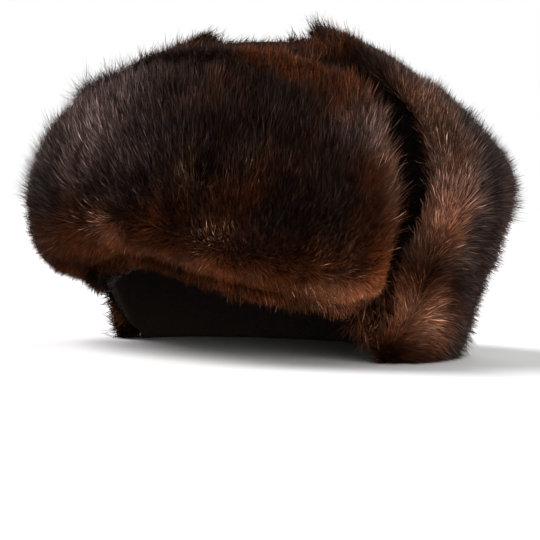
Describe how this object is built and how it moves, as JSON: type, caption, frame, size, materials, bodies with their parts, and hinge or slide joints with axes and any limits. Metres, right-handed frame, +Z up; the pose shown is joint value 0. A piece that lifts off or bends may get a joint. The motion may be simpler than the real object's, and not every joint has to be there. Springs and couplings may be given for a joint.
{
  "type": "ushanka fur hat",
  "caption": "Fur hat with a deep open-bottomed crown, a thick visor folded up in front, and ear and neck flaps folded up round the crown and tied over it.",
  "frame": {"origin": "the middle of the hat's outline seen from above, on the plane that it rests on", "axes": "+Z up, -Y the front of the hat, +X the wearer's left"},
  "size_m": [0.2422, 0.2986, 0.1758],
  "materials": {
    "fur": "long dark brown fur with stiff guard hairs",
    "lace": "flat woven lace, matt"
  },
  "bodies": {
    "root": {"crown": "fur", "visor": "fur", "left_ear_flap": "fur", "right_ear_flap": "fur", "neck_flap": "fur", "tie_lace": "lace"}
  },
  "joints": []
}
